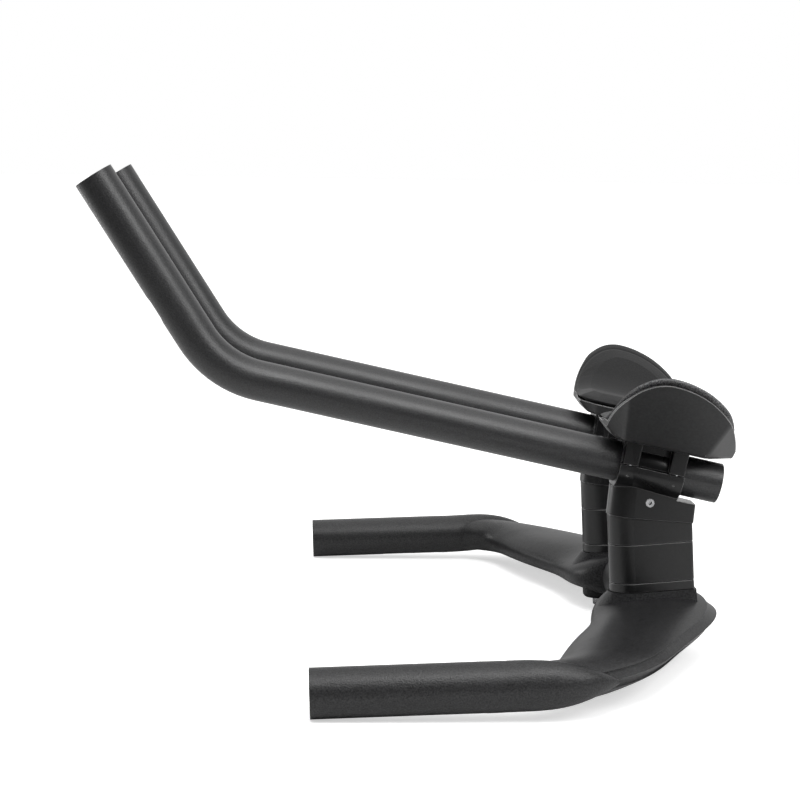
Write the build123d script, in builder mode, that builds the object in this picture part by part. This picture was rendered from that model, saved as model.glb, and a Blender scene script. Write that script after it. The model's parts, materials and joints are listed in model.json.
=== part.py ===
from build123d import *
import os
from math import atan2, cos, degrees, radians, sin, sqrt, tan

# Aero handlebar: base bar with grips, riser columns, bent extensions and padded arm cups.
# Millimetres. The bar is drawn about the centre of its stem clamp, with +X forward,
# +Y to the rider's left and +Z along the riser columns, and is pitched at the end
# until its grip ends and front column bolts stand on one level floor.

# Base bar
clamp_radius = 15.9
clamp_width = 46.0
clamp_step = 0.4
clamp_neck = 4.0
wing_root_chord = 64.0
wing_root_middle = -0.5
wing_root_station = 47.0
wing_root_rise = 12.5
wing_inner_chord = 68.4
wing_inner_station = 76.0
wing_inner_middle = 2.5
wing_inner_sweep = 6.0
wing_inner_rise = 10.5
wing_mid_chord = 57.5
wing_mid_station = 140.0
wing_mid_middle = 29.3
wing_mid_sweep = 18.8
wing_outer_chord = 45.0
wing_rise = 9.5
wing_depth = 10.6
wing_drop = 2.8
wing_pitch = -2.0
wing_fullness = 0.18
wing_tail_slope = 0.8
wing_points = 6
grip_spacing = 400.0
grip_radius = 12.5
grip_wall = 2.5
grip_reach = 189.9
grip_rise = 1.2
grip_drop = 0.8
elbow_reach = 92.0
elbow_inner_radius = 24.0
elbow_start_angle = 73.3
elbow_chord = 30.0
elbow_rise = 10.0
elbow_drop = 1.5
elbow_end_chord = 17.0
elbow_end_rise = 7.0
elbow_blend = 14.0
tail_turn = 58.0
tail_radius = 1.3
tail_shift = 25.0
tail_power = 1.8
tail_drop = 2.0
tail_sections = 5
grip_bore_depth = 98.0
port_width = 8.0
grip_port_length = 24.0
grip_port_setback = 45.0

# Riser columns
column_offset = 57.0
column_length = 46.2
column_width = 22.0
column_nose = 13.0
column_tail_width = 15.0
column_tail_radius = 1.5
platform_top = 11.5
platform_margin = 1.0
boss_bottom = 17.0
boss_edge = 2.5
skirt_bottom = 2.0
skirt_margin = 4.5
thin_spacer_height = 5.2
tall_spacer_height = 21.6
wedge_height = 13.6
wedge_angle = 8.4
spacer_edge = 0.35

# Column bolts
column_bolt_radius = 2.5
column_bolt_spacing = 28.0
column_bolt_head_radius = 4.25
column_bolt_head_height = 5.0
column_bolt_key = 4.0
column_bolt_engagement = 9.0
column_bolt_tip_room = 0.5
bolt_edge = 0.5
bolt_clearance = 0.25
thread_clearance = 0.05

# Extension bracket
bracket_height = 27.3
bracket_reach = 3.4
bracket_angle = 7.26
bracket_margin = 0.7
clamp_length = 36.0
cradle_half_width = 15.4
cradle_floor = 2.4
cradle_corner = 11.0
clamp_split = 0.6
clamp_gap = 0.6
set_screw_radius = 2.3
set_screw_depth = 5.0
set_screw_height = 9.4
set_screw_forward = 2.1
set_screw_proud = 0.2
set_screw_key = 2.0

# Extension tube
tube_radius = 11.1
tube_wall = 1.2
tube_fit = 0.08
tube_tail = 40.0
tube_bend_start = 259.6
tube_bend_radius = 54.5
tube_bend_angle = 45.2
tube_tip = 102.4
tube_port_length = 17.0
tube_port_setback = 24.0

# Clamp cap
cap_wall = 2.4
cap_flat_width = 20.0
lug_length = 8.7
lug_spacing = 26.0
lug_reach = 16.5
lug_edge = 0.6
clamp_bolt_radius = 1.5
clamp_bolt_offset = 13.5
clamp_bolt_head_radius = 3.0
clamp_bolt_key = 2.0
clamp_bolt_engagement = 5.5
clamp_bolt_tip_room = 0.5
countersink_angle = 45.0

# Arm cup, in the frame of the clamp: length along the tube, width outboard, height off its axis
cup_front = 24.3
cup_front_flare = 50.0
cup_outboard = 20.0
cup_flare = 37.0
cup_rear = 28.2
cup_rear_flare = 84.0
cup_inboard = 19.0
cup_front_corner = 3.6
cup_rear_corner = 2.5
cup_corner_flare = 35.0
cup_wall = 2.5
cup_lip = 6.5
cup_rim_front = 30.6
cup_rim_crest = 5.0
cup_rim_rear = 43.3
cup_rim_tip = 21.0
cup_rim_top = 50.2
cup_rim_tail = 20.0
cup_fold_radius = 5.0
cup_wing_root = 4.0
cup_wing_slope = 68.0
cup_wing_blend = 12.0

# Arm pad
patch_thickness = 1.2
patch_length = 16.0
patch_width = 12.0
patch_spacing = 26.0
patch_corner = 2.0
pad_thickness = 8.5
pad_proud = 3.8
pad_overhang = 1.4
pad_inner_radius = 30.0
pad_clearance = 0.3

UP = Vector(0, 0, 1)
OUT = 100.0  # longer than any cut has to reach


def tilted(origin, angle):
    """Plane whose x axis climbs towards the front by an angle, as the wedge and tube do."""
    lean = radians(angle)
    return Plane(origin, x_dir=(cos(lean), 0, sin(lean)), z_dir=(-sin(lean), 0, cos(lean)))


def place(plane, forward, outboard, up):
    """Point given along a plane's own axes."""
    return plane.from_local_coords(Vector(forward, outboard, up))


def across(plane, station):
    """Plane across a tilted plane's length at a station, with its x outboard and y upward."""
    return Plane(place(plane, station, 0, 0), x_dir=plane.y_dir, z_dir=plane.x_dir)


def beside(plane):
    """Plane along a tilted plane's length, with its x forward and y upward."""
    return Plane(plane.origin, x_dir=plane.x_dir, z_dir=-plane.y_dir)


# Levels up the left column, and the frame of the left clamp on the axis of its tube
thin_top = platform_top + thin_spacer_height
tall_top = thin_top + tall_spacer_height
wedge_top = tilted((0, column_offset, tall_top + wedge_height), wedge_angle)
clamp_angle = wedge_angle + bracket_angle
clamp = tilted(place(wedge_top, bracket_reach, 0, bracket_height), clamp_angle)
seat_radius = tube_radius + tube_fit
cradle_bottom = -(tube_radius + cradle_floor)
cap_bottom = clamp_split + clamp_gap
cap_top = tube_radius + cap_wall
column_hole_radius = column_bolt_radius + bolt_clearance
column_bolt_top = tall_top + wedge_height + column_bolt_engagement
screw_side = place(wedge_top, set_screw_forward, column_width / 2 + set_screw_proud, set_screw_height)
screw_face = Plane(screw_side, x_dir=(1, 0, 0), z_dir=(0, 1, 0))

# Bend of the left tube and the frame of its tip
bend_along = tube_bend_start - tube_tail
bend_turn = radians(tube_bend_angle)
bend_axis = Axis(place(clamp, bend_along, 0, tube_bend_radius), (0, -1, 0))
tip_along = bend_along + tube_bend_radius * sin(bend_turn)
tip_up = tube_bend_radius * (1 - cos(bend_turn))
tip = tilted(place(clamp, tip_along, 0, tip_up), clamp_angle + tube_bend_angle)

# Heights off the tube's axis in the left cup
cup_floor = cap_top + cup_wall
clamp_bolt_sink = (clamp_bolt_head_radius - clamp_bolt_radius) / tan(radians(countersink_angle))
countersink = cup_floor - clamp_bolt_sink
clamp_bolt_length = countersink - clamp_split + clamp_bolt_engagement
clamp_bolt_hole = clamp_bolt_engagement + clamp_bolt_tip_room
pad_depth = cup_wall + patch_thickness + pad_clearance

# Axis of the left grip, from the end of the elbow to its open end
half_spacing = grip_spacing / 2
grip_start = tilted((elbow_reach, half_spacing, -grip_drop), grip_rise)
grip_length = (grip_reach - elbow_reach) / cos(radians(grip_rise))


def disc(plane, radius):
    """Round section on a plane."""
    with BuildSketch(plane) as face:
        Circle(radius)
    return face.sketch


def column_face(plane, margin=0.0):
    """Plan of the riser column: rounded nose, straight flanks and a blunt tail."""
    tail = -column_length / 2 - margin
    tail_half = column_tail_width / 2 + margin
    with BuildSketch(plane) as outline:
        with BuildLine():
            nose = EllipticalCenterArc(
                (column_length / 2 - column_nose, 0),
                column_nose + margin,
                column_width / 2 + margin,
                start_angle=-90,
                arc_size=180,
            )
            Polyline(nose @ 1, (tail, tail_half), (tail, -tail_half), nose @ 0)
        make_face()
        fillet(outline.vertices().group_by(Axis.X)[0], column_tail_radius)
    return outline.sketch


def column_holes(bottom, radius):
    """Sections of the two column bolts at a level."""
    with BuildSketch(Plane((0, column_offset, bottom))) as holes:
        with GridLocations(column_bolt_spacing, 0, 2, 1):
            Circle(radius)
    return holes.sketch


def column_slice(bottom, height):
    """Spacer of the riser column with its edges broken, bored for the two bolts."""
    with BuildPart() as spacer:
        extrude(column_face(Plane((0, column_offset, bottom))), amount=height)
        chamfer(faces().filter_by(Axis.Z).edges(), spacer_edge)
        extrude(column_holes(bottom, column_hole_radius), amount=height, mode=Mode.SUBTRACT)
    return spacer


def wing_face(forward, station, yaw, chord, rise, drop):
    """Wing section with a full nose and a slim tail, on an upright plane turned by yaw."""
    nose_way = Vector(cos(radians(yaw)), -sin(radians(yaw)), tan(radians(wing_pitch))).normalized()
    side_way = nose_way.cross(UP).normalized()
    with BuildSketch(Plane((forward, station, -drop), x_dir=nose_way, z_dir=side_way)) as face:
        with BuildLine():
            for side, height in ((1, rise), (-1, wing_depth)):
                points = []
                for step in range(wing_points + 1):
                    angle = radians(180 * step / wing_points)
                    swell = 1 + wing_fullness * cos(angle)
                    points.append((chord / 2 * cos(angle), side * height * sin(angle) * swell))
                Spline(*points, tangents=((0, side), (-1, -side * wing_tail_slope)))
        make_face()
    return face.sketch


def elbow_place(turn, reach, drop):
    """Point at a reach from the elbow's centre, turned back from the start of the grip."""
    station = half_spacing - grip_radius - elbow_inner_radius + reach * cos(radians(turn))
    return Vector(elbow_reach - reach * sin(radians(turn)), station, -drop)


def elbow_face(turn, inset, chord, rise, drop):
    """Wing section on a plane through the elbow's centre, with its nose toward that centre."""
    middle = elbow_place(turn, elbow_inner_radius + inset + chord / 2, drop)
    return wing_face(middle.X, middle.Y, 90 - turn, chord, rise, drop)


def tail_face(step):
    """Round section of the grip's tail, which thins and sinks as it runs on round the elbow."""
    share = step / tail_sections
    left = cos(radians(90 * share**2))
    reach = elbow_inner_radius + grip_radius + tail_shift * share**tail_power
    turn = tail_turn * share
    middle = elbow_place(turn, reach, grip_drop + tail_drop * (1 - left) ** 2)
    inward = Vector(sin(radians(turn)), -cos(radians(turn)), 0)
    radius = tail_radius + (grip_radius - tail_radius) * left
    return disc(Plane(middle, x_dir=inward, z_dir=inward.cross(UP)), radius)


def grip_face(station):
    """Round section of the grip, started at its inner side as the wing sections are at their nose."""
    section = across(grip_start, station)
    return disc(Plane(section.origin, x_dir=-section.x_dir, z_dir=-section.z_dir), grip_radius)


def ring(plane):
    """Section of the extension tube."""
    with BuildSketch(plane) as face:
        Circle(tube_radius)
        Circle(tube_radius - tube_wall, mode=Mode.SUBTRACT)
    return face.sketch


def four_bolts(height, radius):
    """Sections of the four clamp bolts at a height off the tube's axis."""
    with BuildSketch(clamp.offset(height)) as face:
        with GridLocations(lug_spacing, 2 * clamp_bolt_offset, 2, 2):
            Circle(radius)
    return face.sketch


def dish_side(heading, reach, flare):
    """Plane of one side of the cup, facing out at a heading from the front and leaning back."""
    turn = radians(heading)
    lean = radians(flare)
    foot = place(clamp, reach * cos(turn), reach * sin(turn), cap_top)
    outward = clamp.x_dir * cos(turn) + clamp.y_dir * sin(turn)
    return Plane(foot, z_dir=outward * cos(lean) - clamp.z_dir * sin(lean))


def dish(depth):
    """Flared dish with folded corners: the cup's outer form, or that form offset inward."""
    with BuildPart() as form:
        with BuildSketch(clamp.offset(cap_top + depth)):
            Rectangle(4 * OUT, 4 * OUT)
        extrude(amount=cup_rim_top)
        for side in cup_sides:
            split(bisect_by=side.offset(-depth), keep=Keep.BOTTOM)
        top = form.faces().sort_by(Axis(clamp.origin, clamp.z_dir))[-1]
        fillet(form.edges() - top.edges(), cup_fold_radius - depth)
    return form.part


def rim_face(proud, overhang):
    """Side outline that trims the wing of the cup, or the pad that stands proud of it."""
    front = cup_rim_front + overhang
    rear = -cup_rim_rear - overhang
    with BuildSketch(beside(clamp)) as outline:
        with BuildLine():
            brow = EllipticalCenterArc(
                (cup_rim_crest, cup_rim_tip),
                front - cup_rim_crest,
                cup_rim_top + proud - cup_rim_tip,
                start_angle=0,
                arc_size=90,
            )
            back = TangentArc(brow @ 1, (rear, cup_rim_tail + proud), tangent=brow % 1)
            Polyline(back @ 1, (rear, 0), (front, 0), brow @ 0)
        make_face()
    return outline.sketch


def lip_face():
    """Front outline that trims the cup's lip and lets the outer wing rise from it."""
    lip = cap_top + cup_lip
    rise = (OUT - cup_wing_root) * tan(radians(cup_wing_slope))
    with BuildSketch(across(clamp, 0)) as outline:
        Polygon((-OUT, 0), (OUT, 0), (OUT, lip + rise), (cup_wing_root, lip), (-OUT, lip), align=None)
        fillet(outline.vertices().sort_by_distance((cup_wing_root, lip)).first, cup_wing_blend)
    return outline.sketch


def pad_face():
    """Front outline of the pad: an even floor that sweeps up into an even outer wall."""
    depth = pad_depth + pad_thickness
    top = cap_top + depth
    corner = cup_outboard - depth * tan(radians(90 - cup_flare) / 2)
    rise = (OUT - corner) / tan(radians(cup_flare))
    with BuildSketch(across(clamp, 0)) as outline:
        Polygon((-OUT, 0), (OUT, 0), (OUT, top + rise), (corner, top), (-OUT, top), align=None)
        fillet(outline.vertices().sort_by_distance((corner, top)).first, pad_inner_radius)
    return outline.sketch


def mirrored(piece):
    """The right-hand twin of a left-hand piece."""
    with BuildPart() as twin:
        mirror(piece.part, about=Plane.XZ)
    return twin


# Sides of the left arm cup by their headings from the front, with a folded facet at each corner
front_corner = cup_front - cup_front_corner
rear_corner = cup_rear - cup_rear_corner
cup_sides = [
    dish_side(0, cup_front, cup_front_flare),
    dish_side(45, (front_corner + cup_outboard) / sqrt(2), cup_corner_flare),
    dish_side(90, cup_outboard, cup_flare),
    dish_side(135, (rear_corner + cup_outboard) / sqrt(2), cup_corner_flare),
    dish_side(180, cup_rear, cup_rear_flare),
    dish_side(225, (rear_corner + cup_inboard) / sqrt(2), cup_corner_flare),
    dish_side(270, cup_inboard, cup_flare),
    dish_side(315, (front_corner + cup_inboard) / sqrt(2), cup_corner_flare),
]

# Boss that carries the left column, through the wing from below to the platform on its skirt
with BuildPart() as column_boss:
    boss_plan = column_face(Plane((0, column_offset, -boss_bottom)), platform_margin)
    extrude(boss_plan, amount=boss_bottom + platform_top)
    fillet(faces().sort_by(Axis.Z)[0].edges(), boss_edge)
    skirt = column_face(Plane((skirt_margin - platform_margin, column_offset, skirt_bottom)), skirt_margin)
    loft([skirt, column_face(Plane((0, column_offset, platform_top)), platform_margin)])

# Sections of the left half of the base bar, from the clamp's neck round the elbow to the grip
wing_start = clamp_width / 2 + clamp_neck
neck_radius = clamp_radius - clamp_step
toward_middle = Plane((0, wing_start, 0), x_dir=(1, 0, 0), z_dir=(0, -1, 0))
with BuildSketch(toward_middle) as neck_face:
    with BuildLine():
        CenterArc((0, 0), neck_radius, 0, 180)
        CenterArc((0, 0), neck_radius, 180, 180)
    make_face()
neck = neck_face.sketch
wing_root = wing_face(
    wing_root_middle, wing_root_station, 0, wing_root_chord, wing_root_rise, wing_drop / 2
)
wing_inner = wing_face(
    wing_inner_middle, wing_inner_station, wing_inner_sweep, wing_inner_chord, wing_inner_rise, wing_drop
)
wing_mid = wing_face(
    wing_mid_middle, wing_mid_station, wing_mid_sweep, wing_mid_chord, wing_rise, wing_drop
)
wing_outer = elbow_face(elbow_start_angle, 0, wing_outer_chord, wing_rise, wing_drop)
elbow = elbow_face(elbow_start_angle / 2, 0, elbow_chord, elbow_rise, elbow_drop)
elbow_end = elbow_face(0, grip_radius - elbow_end_chord / 2, elbow_end_chord, elbow_end_rise, grip_drop)
tail = [tail_face(step) for step in range(tail_sections, -1, -1)]

# Base bar: the left half is lofted, given its boss, grip and bores, and then mirrored
with BuildPart() as base_bar:
    loft([neck, wing_root, wing_inner, wing_mid, wing_outer, elbow, elbow_end])
    loft([*tail, grip_face(elbow_blend)])
    add(column_boss.part)
    extrude(disc(across(grip_start, elbow_blend), grip_radius), amount=grip_length - elbow_blend)
    extrude(neck, amount=wing_start)
    extrude(disc(toward_middle.offset(clamp_neck), clamp_radius), amount=clamp_width / 2)
    extrude(column_holes(-boss_bottom, column_hole_radius), amount=OUT, mode=Mode.SUBTRACT)
    grip_bore = disc(across(grip_start, grip_length), grip_radius - grip_wall)
    extrude(grip_bore, amount=-grip_bore_depth, mode=Mode.SUBTRACT)
    with BuildSketch(grip_start):
        with Locations((grip_length - grip_port_setback - grip_port_length / 2, 0)):
            SlotOverall(grip_port_length, port_width)
    extrude(amount=-OUT, mode=Mode.SUBTRACT)
    mirror(about=Plane.XZ)

# Spacers of the left column
left_thin_spacer = column_slice(platform_top, thin_spacer_height)
left_tall_spacer = column_slice(thin_top, tall_spacer_height)
with BuildPart() as left_wedge_spacer:
    extrude(column_face(Plane((0, column_offset, tall_top))), amount=OUT)
    split(bisect_by=wedge_top, keep=Keep.BOTTOM)
    chamfer(faces().sort_by(Axis.Z)[0].edges() + faces().sort_by(Axis.Z)[-1].edges(), spacer_edge)
    extrude(column_holes(tall_top, column_hole_radius), amount=OUT, mode=Mode.SUBTRACT)

# Bracket: a neck on the wedge, and the cradle that holds the tube from below
with BuildPart() as left_extension_bracket:
    extrude(column_face(wedge_top, bracket_margin), amount=bracket_height)
    split(bisect_by=clamp.offset(cradle_bottom + cradle_corner / 2), keep=Keep.BOTTOM)
    with BuildSketch(clamp.offset(cradle_bottom)):
        with GridLocations(clamp_length + OUT, 0, 2, 1):
            Rectangle(OUT, OUT)
    extrude(amount=OUT, mode=Mode.SUBTRACT)
    with BuildSketch(across(clamp, -clamp_length / 2)) as cradle:
        with Locations((0, clamp_split)):
            Rectangle(2 * cradle_half_width, clamp_split - cradle_bottom, align=(Align.CENTER, Align.MAX))
        fillet(cradle.vertices().group_by(Axis.Y)[0], cradle_corner)
    extrude(amount=clamp_length)
    extrude(disc(across(clamp, -OUT), seat_radius), amount=2 * OUT, mode=Mode.SUBTRACT)
    extrude(
        column_holes(tall_top, column_bolt_radius + thread_clearance),
        amount=column_bolt_top + column_bolt_tip_room - tall_top,
        mode=Mode.SUBTRACT,
    )
    clamp_threads = four_bolts(clamp_split, clamp_bolt_radius + thread_clearance)
    extrude(clamp_threads, amount=-clamp_bolt_hole, mode=Mode.SUBTRACT)
    screw_thread = disc(screw_face, set_screw_radius + thread_clearance)
    extrude(screw_thread, amount=-set_screw_depth, mode=Mode.SUBTRACT)

# Column bolts, with their heads under the boss
with BuildPart() as left_column_bolts:
    extrude(column_holes(-boss_bottom, column_bolt_radius), amount=boss_bottom + column_bolt_top)
    extrude(column_holes(-boss_bottom, column_bolt_head_radius), amount=-column_bolt_head_height)
    chamfer(edges().group_by(Axis.Z)[0], bolt_edge)
    with BuildSketch(Plane((0, column_offset, -boss_bottom - column_bolt_head_height))):
        with GridLocations(column_bolt_spacing, 0, 2, 1):
            RegularPolygon(column_bolt_key / 2, 6, major_radius=False)
    extrude(amount=column_bolt_head_height / 2, mode=Mode.SUBTRACT)

# Set screw in the bracket's outer side
with BuildPart() as left_set_screw:
    extrude(disc(screw_face, set_screw_radius), amount=-set_screw_depth)
    with BuildSketch(screw_face):
        RegularPolygon(set_screw_key / 2, 6, major_radius=False)
    extrude(amount=-set_screw_key, mode=Mode.SUBTRACT)

# Extension tube: a straight run, one bend and a straight tip with a cable port underneath
with BuildPart() as left_extension:
    extrude(ring(across(clamp, -tube_tail)), amount=tube_bend_start)
    revolve(ring(across(clamp, bend_along)), axis=bend_axis, revolution_arc=tube_bend_angle)
    extrude(ring(across(tip, 0)), amount=tube_tip)
    with BuildSketch(tip):
        with Locations((tube_port_setback, 0)):
            SlotOverall(tube_port_length, port_width)
    extrude(amount=-OUT, mode=Mode.SUBTRACT)

# Clamp cap over the tube, with a strap and two lugs at each pair of bolts
with BuildPart() as left_clamp_cap:
    with BuildSketch(across(clamp, -clamp_length / 2)):
        Circle(tube_radius + cap_wall)
        Rectangle(cap_flat_width, cap_top, align=(Align.CENTER, Align.MIN))
        with Locations((0, cap_bottom)):
            Rectangle(OUT, OUT, align=(Align.CENTER, Align.MAX), mode=Mode.SUBTRACT)
    extrude(amount=clamp_length)
    with BuildSketch(clamp.offset(cap_bottom)):
        with GridLocations(lug_spacing, 0, 2, 1):
            RectangleRounded(lug_length, 2 * lug_reach, lug_edge)
    extrude(amount=cap_top - cap_bottom)
    extrude(disc(across(clamp, -OUT), seat_radius), amount=2 * OUT, mode=Mode.SUBTRACT)
    extrude(four_bolts(cap_bottom, clamp_bolt_radius + bolt_clearance), amount=OUT, mode=Mode.SUBTRACT)

# Clamp bolts, countersunk in the cup's floor
with BuildPart() as left_clamp_bolts:
    extrude(four_bolts(clamp_split - clamp_bolt_engagement, clamp_bolt_radius), amount=clamp_bolt_length)
    extrude(four_bolts(countersink, clamp_bolt_radius), amount=clamp_bolt_sink, taper=-countersink_angle)
    with BuildSketch(clamp.offset(cup_floor)):
        with GridLocations(lug_spacing, 2 * clamp_bolt_offset, 2, 2):
            RegularPolygon(clamp_bolt_key / 2, 6, major_radius=False)
    extrude(amount=-clamp_bolt_sink, mode=Mode.SUBTRACT)

# Arm cup: a hollowed dish trimmed to a low lip all round and a high wing outside
with BuildPart() as left_arm_cup:
    add(dish(0))
    add(dish(cup_wall), mode=Mode.SUBTRACT)
    extrude(rim_face(0, 0), amount=OUT, both=True, mode=Mode.INTERSECT)
    extrude(lip_face(), amount=OUT, both=True, mode=Mode.INTERSECT)
    extrude(four_bolts(cap_top, clamp_bolt_radius + bolt_clearance), amount=OUT, mode=Mode.SUBTRACT)
    extrude(
        four_bolts(countersink, clamp_bolt_radius + bolt_clearance),
        amount=clamp_bolt_sink,
        taper=-countersink_angle,
        mode=Mode.SUBTRACT,
    )

# Hook patches on the cup's floor
with BuildPart() as left_pad_patches:
    with BuildSketch(clamp.offset(cup_floor)):
        with GridLocations(patch_spacing, 0, 2, 1):
            RectangleRounded(patch_length, patch_width, patch_corner)
    extrude(amount=patch_thickness)

# Arm pad, hollowed for the forearm
with BuildPart() as left_arm_pad:
    add(dish(pad_depth))
    extrude(rim_face(pad_proud, pad_overhang), amount=OUT, both=True, mode=Mode.INTERSECT)
    extrude(pad_face(), amount=OUT, both=True, mode=Mode.INTERSECT)

lefts = {
    "thin_spacer": left_thin_spacer,
    "tall_spacer": left_tall_spacer,
    "wedge_spacer": left_wedge_spacer,
    "extension_bracket": left_extension_bracket,
    "column_bolts": left_column_bolts,
    "set_screw": left_set_screw,
    "extension": left_extension,
    "clamp_cap": left_clamp_cap,
    "clamp_bolts": left_clamp_bolts,
    "arm_cup": left_arm_cup,
    "pad_patches": left_pad_patches,
    "arm_pad": left_arm_pad,
}
pieces = {"base_bar": base_bar}
for name, piece in lefts.items():
    pieces[f"left_{name}"] = piece
    pieces[f"right_{name}"] = mirrored(piece)

# Nose-down pitch at which the grip ends and the front bolt heads share one floor
grip_toe = place(grip_start, grip_length, 0, -grip_radius)
head_toe = column_bolt_spacing / 2 + column_bolt_head_radius - bolt_edge
head_level = -boss_bottom - column_bolt_head_height
rest_pitch = degrees(atan2(grip_toe.Z - head_level, grip_toe.X - head_toe))

os.makedirs("parts", exist_ok=True)
for name, piece in pieces.items():
    standing = piece.part.rotate(Axis.Y, rest_pitch)
    standing.label = name
    export_step(standing, f"parts/{name}.step")
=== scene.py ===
import json
from math import cos, exp, radians, sin

import bmesh
import bpy
from mathutils import Matrix, Vector
from mathutils.bvhtree import BVHTree
from mathutils.kdtree import KDTree


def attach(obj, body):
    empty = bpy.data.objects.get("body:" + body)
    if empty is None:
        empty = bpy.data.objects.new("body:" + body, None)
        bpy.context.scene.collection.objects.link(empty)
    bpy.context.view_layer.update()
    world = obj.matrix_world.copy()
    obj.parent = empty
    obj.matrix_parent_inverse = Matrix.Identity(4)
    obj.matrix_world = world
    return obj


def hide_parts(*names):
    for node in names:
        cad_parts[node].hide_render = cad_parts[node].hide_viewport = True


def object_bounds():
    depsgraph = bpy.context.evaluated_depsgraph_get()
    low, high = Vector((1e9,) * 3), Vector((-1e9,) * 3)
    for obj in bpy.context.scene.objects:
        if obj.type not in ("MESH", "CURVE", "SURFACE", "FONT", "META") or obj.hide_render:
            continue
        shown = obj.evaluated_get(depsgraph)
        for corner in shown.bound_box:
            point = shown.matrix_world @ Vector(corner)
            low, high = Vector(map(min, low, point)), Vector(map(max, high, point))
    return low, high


# Looks of the aero handlebar: painted bar and tubes, moulded spacers and cups, soft pads.
# Metres and degrees, in the part's own frame.
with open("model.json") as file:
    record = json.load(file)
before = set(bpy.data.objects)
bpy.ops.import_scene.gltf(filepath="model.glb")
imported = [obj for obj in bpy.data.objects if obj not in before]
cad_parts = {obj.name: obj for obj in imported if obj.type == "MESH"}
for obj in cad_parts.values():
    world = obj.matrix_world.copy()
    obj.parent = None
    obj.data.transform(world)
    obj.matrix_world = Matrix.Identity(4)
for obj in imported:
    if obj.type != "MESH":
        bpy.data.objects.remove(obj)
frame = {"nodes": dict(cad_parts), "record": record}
nodes = frame["nodes"]
cad_low, cad_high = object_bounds()
floor_level = cad_low.z

# Photo's camera, about the centre of the stem clamp
camera_place = (0.18632, 1.138, 0.24424)
camera_yaw = 2.24
camera_pitch = 6.82
camera_roll = 0.859
camera_lens = 89.55
camera_sensor = 36.0

# Floor as the camera sees it
white = (1.0, 1.0, 1.0)
floor_half = 30.0
floor_colour = (0.82, 0.82, 0.82)
floor_glow = 0.55

# Floor as it bounces light: bright under the bar, and dark from a slanting line in front of it
bounce_slant = 0.5
bounce_start = 0.42
bounce_end = 0.62
bounce_bright = 0.75
bounce_dark = 0.12

# Room round the bar, by heading: a pale backdrop beyond it and a dim room before it
backdrop_heading = -0.7
backdrop_light = 1.0
room_heading = 0.3
room_light = 0.05

# Broad light from above
sky_light = 1.4
sky_spread = 70.0
sky_tilt = (-8.0, 4.0, 0.0)

# Soft boxes
middle = (0.1, 0.0, 0.08)
soft_boxes = {
    "overhead": {"place": (0.0, 0.65, 1.1), "target": middle, "size": 0.5, "power": 7.5},
    "right": {"place": (-0.65, 0.75, 0.8), "target": middle, "size": 0.5, "power": 7.5},
    "front_rim": {"place": (0.9, -0.5, 0.2), "target": (0.0, 0.06, 0.04), "size": 0.4, "power": 2.5},
}

# Painted and moulded finishes: two shades, shine, and the grain's scale, height and strength
finishes = {
    "bar_paint": {
        "dark": (0.003, 0.003, 0.0032),
        "light": (0.03, 0.03, 0.031),
        "shine": 0.3,
        "grain": 1400.0,
        "height": 0.0003,
        "strength": 0.65,
    },
    "tube_paint": {
        "dark": (0.011, 0.011, 0.0115),
        "light": (0.033, 0.033, 0.034),
        "shine": 0.5,
        "grain": 1600.0,
        "height": 0.0003,
        "strength": 0.45,
    },
    "spacer_plastic": {
        "dark": (0.004, 0.004, 0.0042),
        "light": (0.006, 0.006, 0.0063),
        "shine": 0.42,
        "grain": 700.0,
        "height": 0.0001,
        "strength": 0.1,
    },
    "bracket_metal": {
        "dark": (0.004, 0.004, 0.0042),
        "light": (0.006, 0.006, 0.0063),
        "shine": 0.34,
        "grain": 700.0,
        "height": 0.0001,
        "strength": 0.1,
    },
    "cup_plastic": {
        "dark": (0.014, 0.014, 0.0145),
        "light": (0.023, 0.023, 0.0235),
        "shine": 0.45,
        "grain": 700.0,
        "height": 0.0001,
        "strength": 0.12,
    },
}

# Roughness of all but the bar, which drifts a little in broad clouds
cloudy_roughness = {
    "tube_paint": 0.39,
    "spacer_plastic": 0.3,
    "bracket_metal": 0.28,
    "cup_plastic": 0.42,
}
cloud_scale = 18.0
cloud_detail = 3.0
cloud_drift = 0.04

# Bar's paint, from the wings to the grips: where it changes, and its values on each
wing_inner = 0.165
wing_outer = 0.185
bar_strength = (0.06, 0.65)
bar_roughness = (0.36, 0.4)
bar_shine = (0.1, 0.36)

# Broken edges of the moulded pieces, with a paler tone painted along them as a painted highlight
edge_samples = 6
edge_square = 1.0
edge_highlight_full = 0.9
spacer_edge = 0.0005
spacer_edge_highlight = 0.16
cup_edge = 0.0008
cup_edge_highlight = 0.5

# Column flanks, in the bar's own frame
rest_pitch = 3.569
flank_start = 0.0101
flank_slope = 0.2
flank_bow = 6.5

# Bolt steel
steel_dark = (0.42, 0.42, 0.43)
steel_light = (0.56, 0.56, 0.57)
steel_grain = 900.0
steel_roughness = (0.22, 0.34)

# Cloth of the pads and the hook tape
pad_shades = ((0.004, 0.004, 0.0042), (0.01, 0.01, 0.0104))
tape_shades = ((0.01, 0.01, 0.01), (0.02, 0.02, 0.02))
knit_scale = 1400.0
knit_detail = 1.0
knit_height = 0.0003
knit_strength = 0.5
cloth_roughness = 0.85
cloth_sheen = 0.1
cloth_sheen_roughness = 0.5

# Coarser band along a pad's outer side, shown by how far the surface faces outward
band_shades = ((0.01, 0.01, 0.0102), (0.21, 0.21, 0.214))
band_scale = 1500.0
band_first = 0.1
band_full = 0.6

# Noise: the usual detail, and the span of values that is used
noise_detail = 2.0
noise_low = 0.3
noise_high = 0.7

# Soft pads
weld_distance = 1e-6
square_limit = 0.05
pad_voxel = 0.0009
pad_smoothing = 0.5
pad_rounding = 30
pad_pressure = 4.0
pad_frames = 20
pad_swell = 0.0015
pad_rest = 0.0002
pad_subdivision = 1
pad_border = 0.009
pad_band = 0.0075
pad_slope = 0.0036
seam_step = 0.0005
seam_depth = 0.0006
seam_width = 0.0009


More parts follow.
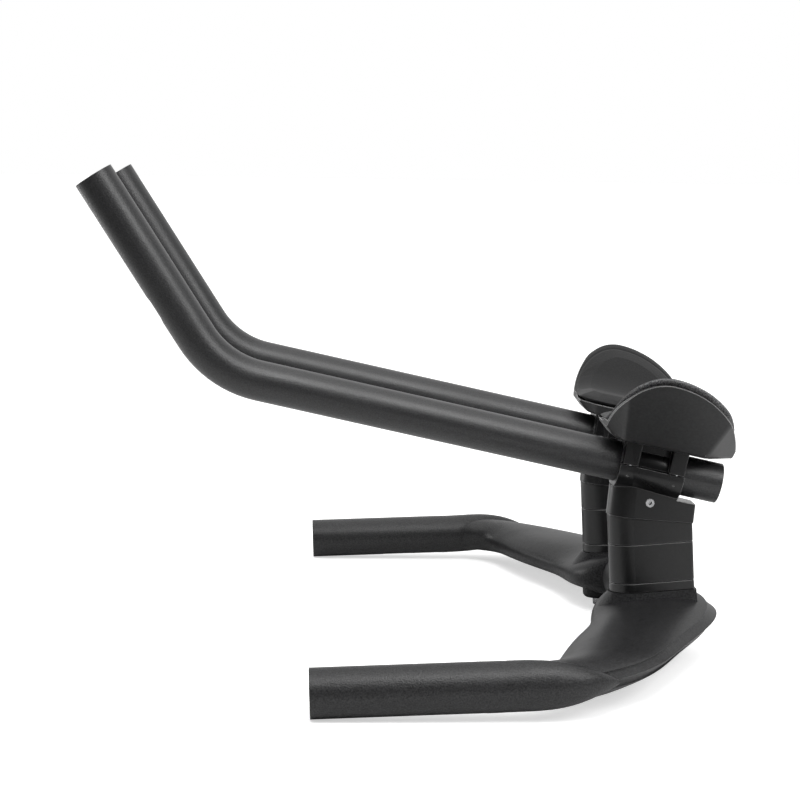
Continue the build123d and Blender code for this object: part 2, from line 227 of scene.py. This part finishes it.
def opaque(colour):
    """Colour with its full cover."""
    return (*colour, 1.0)


def put(tree, socket, value):
    """Links an input to another node's output, or sets it to a fixed value."""
    if isinstance(value, bpy.types.NodeSocket):
        tree.links.new(value, socket)
    else:
        socket.default_value = value


def own_place(tree):
    """Coordinates in the object's own frame, which need no unwrapping."""
    return tree.nodes.new("ShaderNodeTexCoord").outputs["Object"]


def split(tree, vector):
    """Parts of a vector along X, Y and Z."""
    node = tree.nodes.new("ShaderNodeSeparateXYZ")
    put(tree, node.inputs["Vector"], vector)
    return node.outputs


def calculate(tree, operation, *terms):
    """Result of an operation on numbers and other nodes' outputs."""
    node = tree.nodes.new("ShaderNodeMath")
    node.operation = operation
    for socket, term in zip(node.inputs, terms):
        put(tree, socket, term)
    return node.outputs["Value"]


def spread(tree, value, start, end, low=0.0, high=1.0):
    """Maps the span from start to end to the span from low to high, and holds it at both ends."""
    node = tree.nodes.new("ShaderNodeMapRange")
    node.inputs["From Min"].default_value = start
    node.inputs["From Max"].default_value = end
    node.inputs["To Min"].default_value = low
    node.inputs["To Max"].default_value = high
    put(tree, node.inputs["Value"], value)
    return node.outputs["Result"]


def mixed(tree, share, first, second):
    """Mix of two colours, each a fixed one or another node's output."""
    node = tree.nodes.new("ShaderNodeMix")
    node.data_type = "RGBA"
    put(tree, node.inputs["Factor"], share)
    put(tree, node.inputs["A"], first)
    put(tree, node.inputs["B"], second)
    return node.outputs["Result"]


def noise(tree, scale, detail=noise_detail):
    """Noise in the object's own coordinates."""
    node = tree.nodes.new("ShaderNodeTexNoise")
    node.inputs["Scale"].default_value = scale
    node.inputs["Detail"].default_value = detail
    put(tree, node.inputs["Vector"], own_place(tree))
    return node.outputs["Fac"]


def drift(tree, grain, low, high):
    """Value that drifts between two limits with a noise."""
    return spread(tree, grain, noise_low, noise_high, low, high)


def shades(tree, grain, dark, light):
    """Two colours mixed by a noise."""
    return mixed(tree, drift(tree, grain, 0.0, 1.0), opaque(dark), opaque(light))


def bump(tree, shader, grain, height, strength):
    """Raises the surface by a noise."""
    node = tree.nodes.new("ShaderNodeBump")
    node.inputs["Distance"].default_value = height
    node.inputs["Strength"].default_value = strength
    put(tree, node.inputs["Height"], grain)
    put(tree, shader.inputs["Normal"], node.outputs["Normal"])


def shader_nodes(name):
    """New material, its tree and its principled shader."""
    material = bpy.data.materials.new(name)
    material.use_nodes = True
    tree = material.node_tree
    return material, tree, tree.nodes["Principled BSDF"]


def paint(name, dark, light, shine, grain, height, strength):
    """Black finish with a fine grain that catches the light."""
    material, tree, shader = shader_nodes(name)
    specks = noise(tree, grain)
    put(tree, shader.inputs["Base Color"], shades(tree, specks, dark, light))
    shader.inputs["Specular IOR Level"].default_value = shine
    bump(tree, shader, specks, height, strength)
    return material


def cloudy_gloss(material, roughness):
    """Lets a finish's roughness drift in broad clouds."""
    tree = material.node_tree
    clouds = noise(tree, cloud_scale, cloud_detail)
    gloss = drift(tree, clouds, roughness - cloud_drift, roughness + cloud_drift)
    put(tree, tree.nodes["Principled BSDF"].inputs["Roughness"], gloss)


def smooth_wing(material, strength, roughness, shine):
    """Lets the grain and shine of the bar's paint fade between the grips, where the wing is smoother."""
    tree = material.node_tree
    shader = tree.nodes["Principled BSDF"]
    outward = calculate(tree, "ABSOLUTE", split(tree, own_place(tree))["Y"])
    for (low, high), socket in (
        (strength, tree.nodes["Bump"].inputs["Strength"]),
        (roughness, shader.inputs["Roughness"]),
        (shine, shader.inputs["Specular IOR Level"]),
    ):
        put(tree, socket, spread(tree, outward, wing_inner, wing_outer, low, high))


def soft_edges(material, radius, tone):
    """Lets a moulded piece's edges catch the light as if broken by a radius, and paints them paler as a
    painted highlight.
    """
    tree = material.node_tree
    edge = tree.nodes.new("ShaderNodeBevel")
    edge.samples = edge_samples
    edge.inputs["Radius"].default_value = radius
    broken = edge.outputs["Normal"]
    put(tree, tree.nodes["Bump"].inputs["Normal"], broken)
    turn = tree.nodes.new("ShaderNodeVectorMath")
    turn.operation = "DOT_PRODUCT"
    put(tree, turn.inputs[0], broken)
    put(tree, turn.inputs[1], tree.nodes.new("ShaderNodeNewGeometry").outputs["Normal"])
    # Painted highlight: a paler tone mixed into the colour where the rounded normal turns from the
    # face's own
    painted_highlight = spread(tree, turn.outputs["Value"], edge_square, edge_highlight_full)
    base = tree.nodes["Principled BSDF"].inputs["Base Color"]
    put(tree, base, mixed(tree, painted_highlight, base.links[0].from_socket, opaque((tone, tone, tone))))
    return broken


def bowed_flanks(material, normal):
    """Shades the column's flanks as a slight bow that runs on from the nose."""
    tree = material.node_tree
    turned = tree.nodes.new("ShaderNodeMapping")
    turned.inputs["Rotation"].default_value = (0, -radians(rest_pitch), 0)
    put(tree, turned.inputs["Vector"], own_place(tree))
    behind = calculate(tree, "SUBTRACT", flank_start, split(tree, turned.outputs["Vector"])["X"])
    reach = calculate(tree, "MAXIMUM", behind, 0.0)
    slope = calculate(tree, "MULTIPLY_ADD", reach, -flank_bow, flank_slope)
    bow = tree.nodes.new("ShaderNodeBump")
    bow.inputs["Distance"].default_value = 1.0
    put(tree, bow.inputs["Height"], calculate(tree, "MULTIPLY", reach, slope))
    put(tree, bow.inputs["Normal"], normal)
    put(tree, tree.nodes["Bump"].inputs["Normal"], bow.outputs["Normal"])


def steel(name):
    """Bright plated steel with a faint lathe grain."""
    material, tree, shader = shader_nodes(name)
    shader.inputs["Metallic"].default_value = 1.0
    grain = noise(tree, steel_grain)
    put(tree, shader.inputs["Base Color"], shades(tree, grain, steel_dark, steel_light))
    put(tree, shader.inputs["Roughness"], drift(tree, grain, *steel_roughness))
    return material


def cloth_cover(name, dark, light):
    """Knitted cover in two close shades."""
    material, tree, shader = shader_nodes(name)
    knit = noise(tree, knit_scale, knit_detail)
    put(tree, shader.inputs["Base Color"], shades(tree, knit, dark, light))
    shader.inputs["Roughness"].default_value = cloth_roughness
    shader.inputs["Sheen Weight"].default_value = cloth_sheen
    shader.inputs["Sheen Roughness"].default_value = cloth_sheen_roughness
    bump(tree, shader, knit, knit_height, knit_strength)
    return material


def woven_band(material, dark, light):
    """Coarser weave on the outer side of a pad, up to the seam along its cover."""
    tree = material.node_tree
    seam = tree.nodes.new("ShaderNodeAttribute")
    seam.attribute_name = "seam"
    beyond = spread(tree, seam.outputs["Fac"], seam_width / 2, -seam_width / 2)
    surface = tree.nodes.new("ShaderNodeNewGeometry")
    side = calculate(tree, "SIGN", split(tree, surface.outputs["Position"])["Y"])
    outward = calculate(tree, "MULTIPLY", side, split(tree, surface.outputs["Normal"])["Y"])
    shown = spread(tree, outward, band_first, band_full)
    share = calculate(tree, "MULTIPLY", beyond, shown)
    threads = shades(tree, noise(tree, band_scale), dark, light)
    base = tree.nodes["Principled BSDF"].inputs["Base Color"]
    put(tree, base, mixed(tree, share, base.links[0].from_socket, threads))


looks = {name: paint(name, **finish) for name, finish in finishes.items()}
looks["pad_fabric"] = cloth_cover("pad_fabric", *pad_shades)
looks["hook_tape"] = cloth_cover("hook_tape", *tape_shades)
looks["bolt_steel"] = steel("bolt_steel")
for name, roughness in cloudy_roughness.items():
    cloudy_gloss(looks[name], roughness)
smooth_wing(looks["bar_paint"], bar_strength, bar_roughness, bar_shine)
# Spacers, brackets and cups get rounded edges and a painted highlight along them
for name in ("spacer_plastic", "bracket_metal"):
    bowed_flanks(looks[name], soft_edges(looks[name], spacer_edge, spacer_edge_highlight))
soft_edges(looks["cup_plastic"], cup_edge, cup_edge_highlight)
woven_band(looks["pad_fabric"], *band_shades)
slots = {entry["node"]: entry["material_slot"] for entry in frame["record"]["subparts"]}
for name, node in nodes.items():
    node.data.materials.clear()
    node.data.materials.append(looks[slots[name]])


def new_object(name, data):
    """Object for a mesh, light or camera, in the scene."""
    made = bpy.data.objects.new(name, data)
    bpy.context.scene.collection.objects.link(made)
    return made


def settled(made):
    """Replaces an object's mesh by its mesh with the modifiers applied."""
    graph = bpy.context.evaluated_depsgraph_get()
    mesh = bpy.data.meshes.new_from_object(made.evaluated_get(graph))
    made.modifiers.clear()
    made.data = mesh


def solid_shape(node):
    """A node's mesh with its faces joined along their shared edges."""
    shape = bmesh.new()
    shape.from_mesh(node.data)
    bmesh.ops.remove_doubles(shape, verts=shape.verts, dist=weld_distance)
    shape.faces.ensure_lookup_table()
    return shape


def cover_faces(shape, along, up):
    """Faces of a pad's solid that the forearm lies on: its floor and its swept outer wall."""
    facing = [
        face
        for face in shape.faces
        if face.normal.dot(up) > square_limit and abs(face.normal.dot(along)) < square_limit
    ]
    floor_height = min(face.calc_center_median().dot(up) for face in facing)
    cover = set()
    for face in facing:
        height = face.calc_center_median().dot(up) - floor_height
        if abs(face.normal.y) > square_limit or height < pad_rest:
            cover.add(face.index)
    return cover


def seam_line(shape, cover):
    """Points along the edge where a pad's cover meets its side band, and the cover's normal at each."""
    points = []
    normals = []
    for edge in shape.edges:
        inside = [face for face in edge.link_faces if face.index in cover]
        if inside and len(inside) < len(edge.link_faces):
            steps = 1 + int(edge.calc_length() / seam_step)
            first, last = edge.verts
            points += [first.co.lerp(last.co, step / steps) for step in range(steps + 1)]
            normals += [inside[0].normal.copy()] * (steps + 1)
    line = KDTree(len(points))
    for index, point in enumerate(points):
        line.insert(point, index)
    line.balance()
    return line, normals


def soft_pad(name, node, bore):
    """Foam pad: the solid's form, rounded, swollen by air, and sewn along the edge of its cover."""
    along = -Vector(bore["axis"])
    up = along.cross(Vector((0, 1, 0)))
    shape = solid_shape(node)
    cover = cover_faces(shape, along, up)
    seam, seam_normals = seam_line(shape, cover)
    skin = BVHTree.FromBMesh(shape)
    pad = new_object(name, node.data.copy())
    grid = pad.modifiers.new("grid", "REMESH")
    grid.mode = "VOXEL"
    grid.voxel_size = pad_voxel
    rounded = pad.modifiers.new("rounded", "SMOOTH")
    rounded.factor = pad_smoothing
    rounded.iterations = pad_rounding
    settled(pad)
    start = [vertex.co.copy() for vertex in pad.data.vertices]
    fabric = pad.modifiers.new("fabric", "CLOTH")
    fabric.settings.use_pressure = True
    fabric.settings.uniform_pressure_force = pad_pressure
    fabric.settings.effector_weights.gravity = 0.0
    for step in range(1, pad_frames + 1):
        bpy.context.scene.frame_set(step)
    settled(pad)
    bpy.context.scene.frame_set(1)

    # The swelling is capped, and more so underneath, where the pad lies in its cup
    for vertex, first in zip(pad.data.vertices, start):
        moved = vertex.co - first
        facing = skin.find_nearest(first)[1].dot(up)
        most = pad_rest if facing < 0 else pad_swell
        if moved.length > most:
            vertex.co = first + moved.normalized() * most
    smooth = pad.modifiers.new("smooth", "SUBSURF")
    smooth.levels = pad_subdivision
    smooth.render_levels = pad_subdivision
    settled(pad)

    # The seam is a groove, and the cover and the band fold down to it from both sides
    sewn = pad.data.attributes.new("seam", "FLOAT", "POINT")
    normals = [vertex.normal.copy() for vertex in pad.data.vertices]
    for vertex, normal in zip(pad.data.vertices, normals):
        index, away = seam.find(vertex.co)[1:]
        inside = skin.find_nearest(vertex.co)[2] in cover
        sewn.data[vertex.index].value = away if inside else -away
        reach = pad_border if inside else pad_band
        vertex.co -= normal * seam_depth * exp(-((away / seam_width) ** 2))
        if away < reach:
            vertex.co -= seam_normals[index] * pad_slope * (1 - away / reach)
    shape.free()
    pad.data.shade_smooth()
    pad.data.materials.clear()
    pad.data.materials.append(looks["pad_fabric"])
    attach(pad, "root")
    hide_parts(node.name)


mounts = {mount["name"]: mount for mount in frame["record"]["mounts"]}
for side in ("left", "right"):
    soft_pad(f"{side}_pad_cover", nodes[f"{side}_arm_pad"], mounts[f"{side}_rear_bore"])


def by_camera(tree, unseen, seen):
    """Shader that gives the camera one look and all other light another."""
    pick = tree.nodes.new("ShaderNodeMixShader")
    put(tree, pick.inputs["Fac"], tree.nodes.new("ShaderNodeLightPath").outputs["Is Camera Ray"])
    put(tree, pick.inputs[1], unseen)
    put(tree, pick.inputs[2], seen)
    return pick.outputs["Shader"]


# Floor: plain and pale to the camera, and dimmer to the light that bounces off it
floor_mesh = bpy.data.meshes.new("floor")
plane = bmesh.new()
bmesh.ops.create_grid(plane, x_segments=1, y_segments=1, size=floor_half)
plane.to_mesh(floor_mesh)
plane.free()
floor = new_object("floor", floor_mesh)
floor.location = (0, 0, floor_level)
floor_look = bpy.data.materials.new("floor")
floor_look.use_nodes = True
tree = floor_look.node_tree
tree.nodes.clear()
pale = tree.nodes.new("ShaderNodeBsdfDiffuse")
pale.inputs["Color"].default_value = opaque(floor_colour)
glow = tree.nodes.new("ShaderNodeEmission")
glow.inputs["Color"].default_value = opaque(white)
glow.inputs["Strength"].default_value = floor_glow
shown = tree.nodes.new("ShaderNodeAddShader")
put(tree, shown.inputs[0], pale.outputs["BSDF"])
put(tree, shown.inputs[1], glow.outputs["Emission"])
place = split(tree, own_place(tree))
front = calculate(tree, "MULTIPLY_ADD", place["X"], bounce_slant, place["Y"])
sweep = spread(tree, front, bounce_start, bounce_end, bounce_bright, bounce_dark)
bounce = tree.nodes.new("ShaderNodeBsdfDiffuse")
put(tree, bounce.inputs["Color"], sweep)
surface = tree.nodes.new("ShaderNodeOutputMaterial")
floor_shader = by_camera(tree, bounce.outputs["BSDF"], shown.outputs["Shader"])
put(tree, surface.inputs["Surface"], floor_shader)
floor_mesh.materials.append(floor_look)

# Studio: white to the camera; for other light a pale backdrop beyond the bar and a dim room before it
world = bpy.data.worlds.new("studio")
bpy.context.scene.world = world
world.use_nodes = True
tree = world.node_tree
tree.nodes.clear()
seen = tree.nodes.new("ShaderNodeBackground")
seen.inputs["Color"].default_value = opaque(white)
heading = split(tree, tree.nodes.new("ShaderNodeTexCoord").outputs["Generated"])["Y"]
depth = spread(tree, heading, backdrop_heading, room_heading, backdrop_light, room_light)
room = tree.nodes.new("ShaderNodeBackground")
room.inputs["Color"].default_value = opaque(white)
put(tree, room.inputs["Strength"], depth)
surface = tree.nodes.new("ShaderNodeOutputWorld")
world_shader = by_camera(tree, room.outputs["Background"], seen.outputs["Background"])
put(tree, surface.inputs["Surface"], world_shader)

# Broad even light from above, which keeps the floor one shade and its shadow soft
sky = bpy.data.lights.new("sky", "SUN")
sky.energy = sky_light
sky.angle = radians(sky_spread)
sky_lamp = new_object("sky", sky)
sky_lamp.rotation_euler = [radians(angle) for angle in sky_tilt]


def soft_box(name, place, target, size, power):
    """Square soft box aimed at a point."""
    light = bpy.data.lights.new(name, "AREA")
    light.size = size
    light.energy = power
    made = new_object(name, light)
    made.location = place
    made.rotation_euler = (Vector(target) - Vector(place)).to_track_quat("-Z", "Y").to_euler()


for name, box in soft_boxes.items():
    soft_box(name, **box)

# Camera: turned by its yaw and pitch over the photo's floor, then rolled into the part's frame
ahead = Vector((-sin(radians(camera_yaw)), -cos(radians(camera_yaw)), 0))
right = Vector((-cos(radians(camera_yaw)), sin(radians(camera_yaw)), 0))
up = Vector((0, 0, 1))
look = ahead * cos(radians(camera_pitch)) - up * sin(radians(camera_pitch))
rise = up * cos(radians(camera_pitch)) + ahead * sin(radians(camera_pitch))
turned = Matrix((right, rise, -look)).transposed()
camera = new_object("camera", bpy.data.cameras.new("camera"))
camera.matrix_world = Matrix.Translation(camera_place) @ (
    Matrix.Rotation(radians(camera_roll), 4, "Y") @ turned.to_4x4()
)
camera.data.lens = camera_lens
camera.data.sensor_width = camera_sensor
bpy.context.scene.camera = camera
bpy.context.scene.view_settings.view_transform = "Standard"

# Scene brought up to date
bpy.context.view_layer.update()
